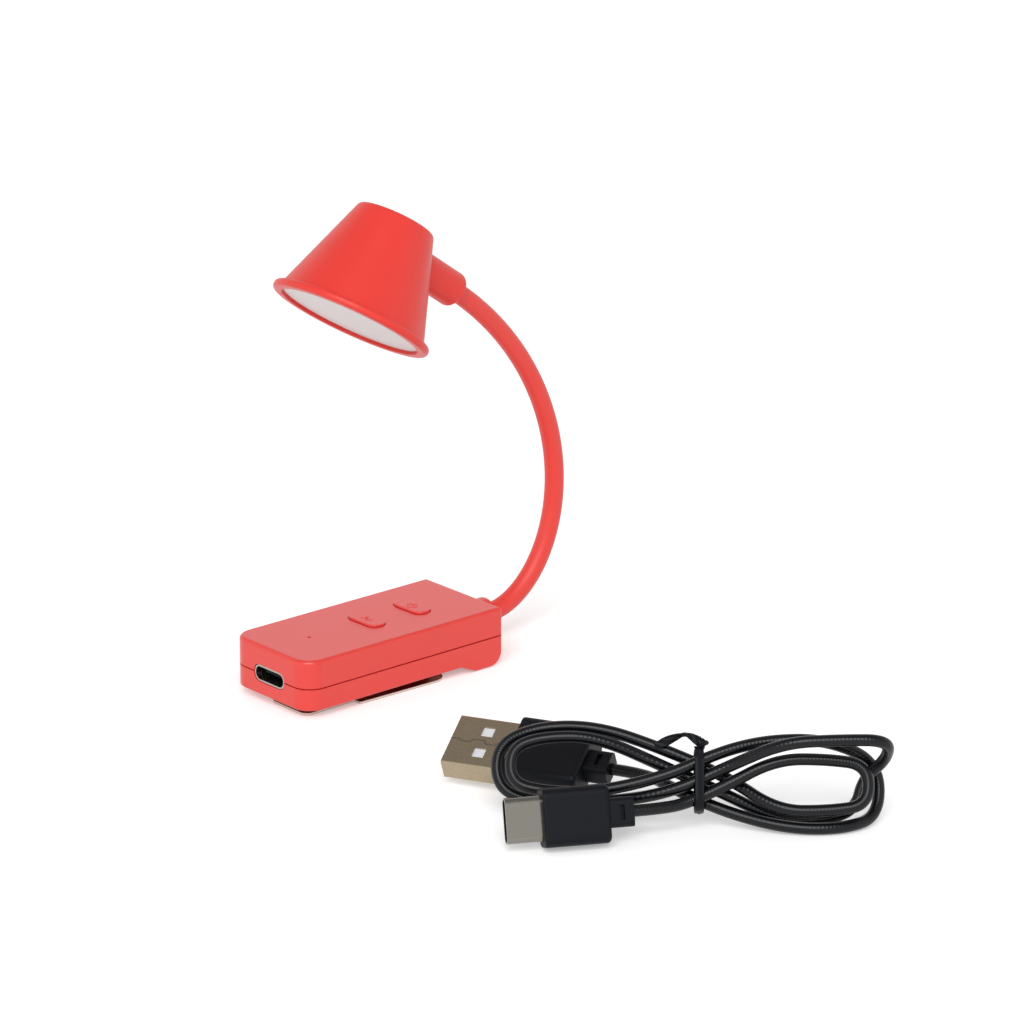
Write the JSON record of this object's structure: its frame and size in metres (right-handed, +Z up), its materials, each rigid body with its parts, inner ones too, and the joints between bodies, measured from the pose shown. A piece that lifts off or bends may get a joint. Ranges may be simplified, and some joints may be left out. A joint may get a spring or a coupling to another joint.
{
  "type": "rechargeable reading lamp",
  "caption": "Small clip-on rechargeable reading lamp: flat base with push buttons and a USB-C port, bendable neck, cone shade, and its tied charging lead.",
  "frame": {"origin": "middle of the base in plan, on the underside of the clip, which is also the floor that the lamp stands on", "axes": "+Z up, -Y towards the front of the base with the charging port, +X to its right"},
  "size_m": [0.1372, 0.089, 0.0951],
  "materials": {
    "coral_plastic": "satin moulded plastic",
    "coral_silicone": "smooth satin silicone",
    "diffuser_white": "frosted",
    "spring_steel": "nickel plated, bright",
    "port_steel": "plated",
    "plug_steel": "nickel plated",
    "black_plastic": "satin moulded plastic",
    "black_cord": "satin sheath",
    "white_plastic": "moulded plastic",
    "board_green": "coated laminate",
    "board_white": "coated laminate",
    "led_yellow": "phosphor",
    "cell_foil": "foil pouch",
    "foam": "foam pad",
    "brass_core": "soft metal core",
    "brass_ferrule": "turned",
    "screw_steel": "zinc plated",
    "lead_red": "wire insulation"
  },
  "bodies": {
    "base": {"upper_shell": "coral_plastic", "lower_shell": "coral_plastic", "shell_screws": "screw_steel", "circuit_board": "board_green", "board_components": "black_plastic", "battery_cell": "cell_foil", "battery_leads": "lead_red", "battery_pad": "foam", "usb_port_shell": "port_steel", "usb_port_tongue": "black_plastic", "indicator_led": "white_plastic", "power_switch_body": "black_plastic", "brightness_switch_body": "black_plastic", "clip_rivets": "spring_steel", "neck_base_ferrule": "brass_ferrule", "neck_sleeve": "coral_silicone", "neck_leads": "lead_red", "lead_cord": "black_cord", "lead_tie": "black_cord", "usb_a_shell": "plug_steel", "usb_a_insulator": "white_plastic", "usb_a_grip": "black_plastic", "usb_c_shell": "plug_steel", "usb_c_insulator": "black_plastic", "usb_c_grip": "black_plastic"},
    "power_key": {"power_button": "coral_plastic", "power_switch_plunger": "white_plastic"},
    "brightness_key": {"brightness_button": "coral_plastic", "brightness_switch_plunger": "white_plastic"},
    "clip": {"clip_plate": "spring_steel"},
    "link_01": {"neck_core_link_01": "brass_core"},
    "link_02": {"neck_core_link_02": "brass_core"},
    "link_03": {"neck_core_link_03": "brass_core"},
    "link_04": {"neck_core_link_04": "brass_core"},
    "link_05": {"neck_core_link_05": "brass_core"},
    "link_06": {"neck_core_link_06": "brass_core"},
    "link_07": {"neck_core_link_07": "brass_core"},
    "link_08": {"neck_core_link_08": "brass_core"},
    "link_09": {"neck_core_link_09": "brass_core"},
    "link_10": {"neck_core_link_10": "brass_core"},
    "link_11": {"neck_core_link_11": "brass_core"},
    "link_12": {"neck_core_link_12": "brass_core"},
    "link_13": {"neck_core_link_13": "brass_core"},
    "head": {"shade": "coral_plastic", "diffuser": "diffuser_white", "led_board": "board_white", "led_chips": "led_yellow", "led_board_screws": "screw_steel", "neck_head_ferrule": "brass_ferrule"}
  },
  "joints": [
    {"name": "neck_bend_1", "type": "hinge", "parent": "base", "child": "link_01", "pos_m": [0, 0.0306, 0.00615], "axis": [1, 0, 0], "range_deg": [-20, 9], "deforming": ["neck_sleeve", "neck_leads"]},
    {"name": "neck_sway_1", "type": "hinge", "parent": "link_01", "child": "link_02", "pos_m": [0, 0.03692, 0.00779], "axis": [0, -0.4862, 0.8739], "range_deg": [-8, 8], "deforming": ["neck_sleeve", "neck_leads"]},
    {"name": "neck_bend_2", "type": "hinge", "parent": "link_02", "child": "link_03", "pos_m": [0, 0.04199, 0.01196], "axis": [1, 0, 0], "range_deg": [-25.2, 11.4], "deforming": ["neck_sleeve", "neck_leads"]},
    {"name": "neck_sway_2", "type": "hinge", "parent": "link_03", "child": "link_04", "pos_m": [0, 0.0455, 0.01752], "axis": [0, -0.9119, 0.4103], "range_deg": [-8, 8], "deforming": ["neck_sleeve", "neck_leads"]},
    {"name": "neck_bend_3", "type": "hinge", "parent": "link_04", "child": "link_05", "pos_m": [0, 0.0475, 0.0238], "axis": [1, 0, 0], "range_deg": [-16.6, 7.5], "deforming": ["neck_sleeve", "neck_leads"]},
    {"name": "neck_sway_3", "type": "hinge", "parent": "link_05", "child": "link_06", "pos_m": [0, 0.04815, 0.03036], "axis": [0, -1, 0.0014], "range_deg": [-8, 8], "deforming": ["neck_sleeve", "neck_leads"]},
    {"name": "neck_bend_4", "type": "hinge", "parent": "link_06", "child": "link_07", "pos_m": [0, 0.0476, 0.03692], "axis": [1, 0, 0], "range_deg": [-12.4, 5.6], "deforming": ["neck_sleeve", "neck_leads"]},
    {"name": "neck_sway_4", "type": "hinge", "parent": "link_07", "child": "link_08", "pos_m": [0, 0.04604, 0.04333], "axis": [0, -0.9514, -0.3079], "range_deg": [-8, 8], "deforming": ["neck_sleeve", "neck_leads"]},
    {"name": "neck_bend_5", "type": "hinge", "parent": "link_08", "child": "link_09", "pos_m": [0, 0.0436, 0.04946], "axis": [1, 0, 0], "range_deg": [-9.9, 4.4], "deforming": ["neck_sleeve", "neck_leads"]},
    {"name": "neck_sway_5", "type": "hinge", "parent": "link_09", "child": "link_10", "pos_m": [0, 0.04041, 0.05523], "axis": [0, -0.8452, -0.5344], "range_deg": [-8, 8], "deforming": ["neck_sleeve", "neck_leads"]},
    {"name": "neck_bend_6", "type": "hinge", "parent": "link_10", "child": "link_11", "pos_m": [0, 0.03659, 0.06061], "axis": [1, 0, 0], "range_deg": [-8.2, 3.7], "deforming": ["neck_sleeve", "neck_leads"]},
    {"name": "neck_sway_6", "type": "hinge", "parent": "link_11", "child": "link_12", "pos_m": [0, 0.03223, 0.06556], "axis": [0, -0.7161, -0.698], "range_deg": [-8, 8], "deforming": ["neck_sleeve", "neck_leads"]},
    {"name": "neck_bend_7", "type": "hinge", "parent": "link_12", "child": "link_13", "pos_m": [0, 0.02741, 0.07007], "axis": [1, 0, 0], "range_deg": [-7, 3.2], "deforming": ["neck_sleeve", "neck_leads"]},
    {"name": "neck_sway_7", "type": "hinge", "parent": "link_13", "child": "head", "pos_m": [0, 0.02221, 0.07412], "axis": [0, -0.5806, -0.8142], "range_deg": [-8, 8], "deforming": ["neck_sleeve", "neck_leads"]},
    {"name": "power_press", "type": "slide", "parent": "base", "child": "power_key", "axis": [0, 0, -1], "range_m": [0, 0.00025], "stiffness_N_per_m": 3000},
    {"name": "brightness_press", "type": "slide", "parent": "base", "child": "brightness_key", "axis": [0, 0, -1], "range_m": [0, 0.00025], "stiffness_N_per_m": 3000},
    {"name": "clip_flex", "type": "hinge", "parent": "base", "child": "clip", "pos_m": [0, 0.0102, 0.0009], "axis": [1, 0, 0], "range_deg": [0, 6], "stiffness_Nm_per_rad": 0.9, "springref_deg": -2.01, "deforming": ["clip_plate"]}
  ]
}
